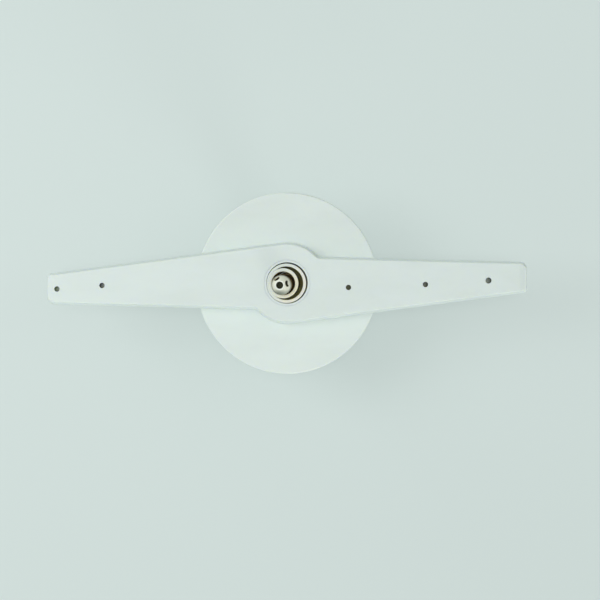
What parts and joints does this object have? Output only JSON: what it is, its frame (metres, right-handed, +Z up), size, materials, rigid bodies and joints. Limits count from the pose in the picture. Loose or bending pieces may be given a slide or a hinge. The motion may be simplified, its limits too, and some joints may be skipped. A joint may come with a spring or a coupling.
{
  "type": "dishwasher spray arm",
  "caption": "Tapered hollow spray arm with offset wings over a round shield disc, a pop-up telescoping wash tower at its hub and a spin bearing that sits on a pump neck.",
  "frame": {"origin": "on the spin axis, at the foot of the pump bearing", "axes": "+Z up the spin axis towards the wash tower, +X along the arm, +Y across it"},
  "size_m": [0.508, 0.1926, 0.126],
  "materials": {
    "arm_plastic": "satin moulded white",
    "tower_plastic": "satin moulded off-white",
    "bearing_plastic": "satin grey acetal",
    "washer_plastic": "smooth low-friction plastic",
    "cap_steel": "satin stainless steel",
    "screw_steel": "stainless steel",
    "seal_rubber": "black rubber"
  },
  "bodies": {
    "hub": {"hub_bearing": "bearing_plastic", "thrust_washer": "washer_plastic"},
    "arm": {"upper_arm_shell": "arm_plastic", "lower_arm_shell": "arm_plastic", "shield_disc": "arm_plastic", "tower_housing": "arm_plastic", "tower_collar": "arm_plastic", "arm_gasket": "seal_rubber", "flange_screws": "screw_steel", "bearing_retainer": "arm_plastic"},
    "outer_section": {"outer_sleeve": "tower_plastic"},
    "inner_section": {"inner_sleeve": "tower_plastic"},
    "nozzle": {"nozzle_tube": "tower_plastic", "nozzle_cap": "cap_steel"}
  },
  "joints": [
    {"name": "arm_spin", "type": "hinge", "parent": "hub", "child": "arm", "pos_m": [0, 0, 0.0145], "axis": [0, 0, 1], "continuous": true},
    {"name": "outer_section_slide", "type": "slide", "parent": "arm", "child": "outer_section", "axis": [0, 0, 1], "range_m": [0, 0.0688]},
    {"name": "inner_section_slide", "type": "slide", "parent": "outer_section", "child": "inner_section", "axis": [-0.0089, -0.0038, 1], "range_m": [0, 0.0702]},
    {"name": "nozzle_slide", "type": "slide", "parent": "inner_section", "child": "nozzle", "axis": [-0.0495, -0.0038, 0.9988], "range_m": [0, 0.0724]}
  ]
}
